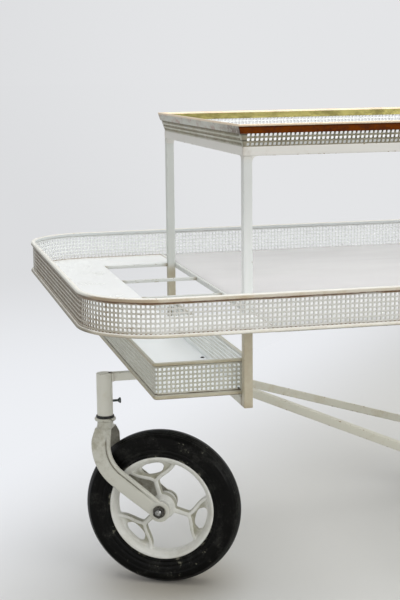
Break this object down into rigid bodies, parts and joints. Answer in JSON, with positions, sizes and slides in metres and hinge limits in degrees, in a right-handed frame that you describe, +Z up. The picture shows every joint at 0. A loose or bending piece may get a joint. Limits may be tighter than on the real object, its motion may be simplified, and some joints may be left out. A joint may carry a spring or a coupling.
{
  "type": "serving cart",
  "caption": "Three-wheeled metal serving cart with a galleried glass tray, a small upper tray, bottle cells over a lower tray, and a swivel castor.",
  "frame": {"origin": "on the floor under the middle of the main tray, which is also the middle of the cart's box seen from above", "axes": "+X along the cart away from the castor, +Y across it to the far side, +Z up"},
  "size_m": [1.038, 0.726, 0.7342],
  "materials": {
    "frame_paint": "worn off-white enamel on steel bar",
    "sheet_paint": "worn off-white enamel on perforated sheet",
    "floor_paint": "white enamel",
    "worn_rail": "off-white enamel rubbed to tan",
    "brass": "tarnished, red-brown in places",
    "glass": "clear float glass, polished edges",
    "zinc_steel": "zinc plated",
    "dark_steel": "blackened",
    "black_rubber": "matte",
    "bronze": "oiled sintered bronze",
    "fork_paint": "grey-white enamel",
    "cast_rim": "painted light grey, cast",
    "tyre": "solid black rubber"
  },
  "bodies": {
    "cart": {"left_posts": "frame_paint", "right_posts": "frame_paint", "upper_frame_sides": "frame_paint", "upper_frame_ends": "frame_paint", "upper_band_sides": "sheet_paint", "upper_band_ends": "sheet_paint", "brass_channel_sides": "brass", "brass_channel_ends": "brass", "upper_glass": "glass", "gallery_sides": "sheet_paint", "gallery_ends": "sheet_paint", "gallery_corners": "sheet_paint", "rail_bars": "worn_rail", "rail_corners": "worn_rail", "bead_bars": "frame_paint", "bead_corners": "frame_paint", "floor_sheet_left": "floor_paint", "floor_sheet_right": "floor_paint", "tray_glass": "glass", "glass_bearers": "frame_paint", "opening_bearer": "frame_paint", "cell_dividers": "frame_paint", "glass_ledges": "frame_paint", "bottle_tray_floor": "floor_paint", "bottle_tray_sides": "sheet_paint", "bottle_tray_ends": "sheet_paint", "bottle_tray_rim": "worn_rail", "bottle_tray_bead": "frame_paint", "bottle_tray_spacers": "frame_paint", "cross_member": "frame_paint", "castor_arm": "frame_paint", "head_tube": "frame_paint", "head_tube_cap": "frame_paint", "stem_bushes": "bronze", "set_screw": "zinc_steel", "brace_near": "frame_paint", "brace_far": "frame_paint", "rear_arms": "frame_paint", "rear_axle": "frame_paint", "rear_spacers": "zinc_steel", "rear_washers": "zinc_steel", "rear_axle_nuts": "zinc_steel"},
    "castor_fork": {"castor_stem": "zinc_steel", "thrust_washer_ring": "black_rubber", "fork_crown": "fork_paint", "fork_blade_near": "fork_paint", "fork_blade_far": "fork_paint", "castor_axle": "zinc_steel", "castor_axle_nut": "dark_steel", "castor_spacers": "zinc_steel"},
    "castor_wheel": {"castor_rim": "cast_rim", "castor_tyre": "tyre", "castor_wheel_bush": "bronze"},
    "rear_wheel_near": {"rear_rim_near": "cast_rim", "rear_tyre_near": "tyre", "rear_bush_near": "bronze"},
    "rear_wheel_far": {"rear_rim_far": "cast_rim", "rear_tyre_far": "tyre", "rear_bush_far": "bronze"}
  },
  "joints": [
    {"name": "castor_swivel", "type": "hinge", "parent": "cart", "child": "castor_fork", "pos_m": [-0.4386, 0, 0.3], "axis": [0, 0, 1], "continuous": true},
    {"name": "castor_wheel_spin", "type": "hinge", "parent": "castor_fork", "child": "castor_wheel", "pos_m": [-0.35436, -0.03893, 0.125], "axis": [0.4195, 0.9078, 0], "continuous": true},
    {"name": "rear_wheel_near_spin", "type": "hinge", "parent": "cart", "child": "rear_wheel_near", "pos_m": [0.318, -0.283, 0.125], "axis": [0, 1, 0], "continuous": true},
    {"name": "rear_wheel_far_spin", "type": "hinge", "parent": "cart", "child": "rear_wheel_far", "pos_m": [0.318, 0.283, 0.125], "axis": [0, 1, 0], "continuous": true}
  ]
}
